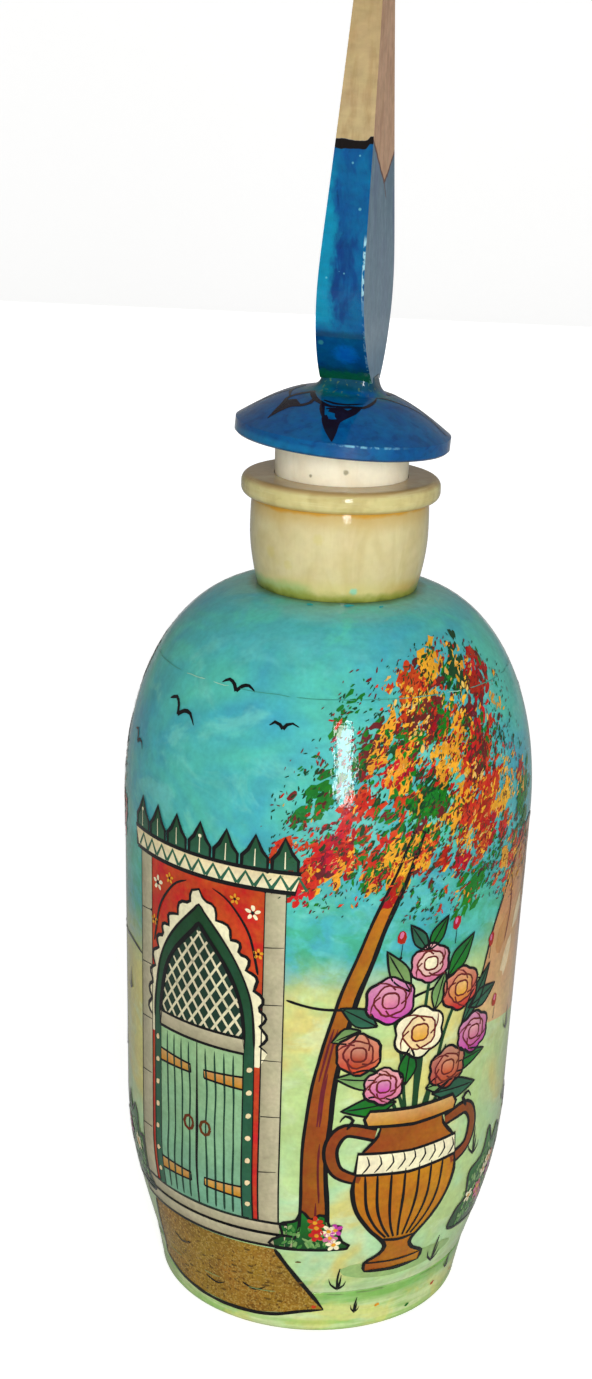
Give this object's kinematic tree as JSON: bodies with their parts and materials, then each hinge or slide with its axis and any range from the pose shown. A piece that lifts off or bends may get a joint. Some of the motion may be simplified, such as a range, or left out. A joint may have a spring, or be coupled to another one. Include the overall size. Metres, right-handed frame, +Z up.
{
  "type": "painted bone bottle with lift-out stopper",
  "caption": "Round-shouldered painted bone bottle on a narrow foot, with a barrel neck, a mouth ring and a tapered stopper that carries a domed cap and a flat leaf finial.",
  "frame": {"origin": "centre of the foot, on the surface the bottle stands on", "axes": "+Z up along the bottle's axis, -Y towards the viewer of the picture, +X to the viewer's right"},
  "size_m": [0.05, 0.05, 0.1768],
  "materials": {
    "bare_bone": "satin",
    "painted_ground": "gloss",
    "painted_sky": "gloss",
    "lacquered_bone": "gloss",
    "ring_bone": "gloss",
    "painted_blue": "gloss",
    "dowel": "matte"
  },
  "bodies": {
    "bottle": {"base_disc": "bare_bone", "foot_ring": "painted_ground", "body_tube": "painted_sky", "shoulder_cap": "painted_sky", "neck_collar": "lacquered_bone", "mouth_ring": "ring_bone"},
    "stopper": {"stopper_plug": "bare_bone", "stopper_cap": "painted_blue", "finial_peg": "dowel", "finial_blade": "painted_blue"}
  },
  "joints": [
    {"name": "stopper_lift", "type": "slide", "parent": "bottle", "child": "stopper", "axis": [0, 0, 1], "range_m": [0, 0.06]}
  ]
}
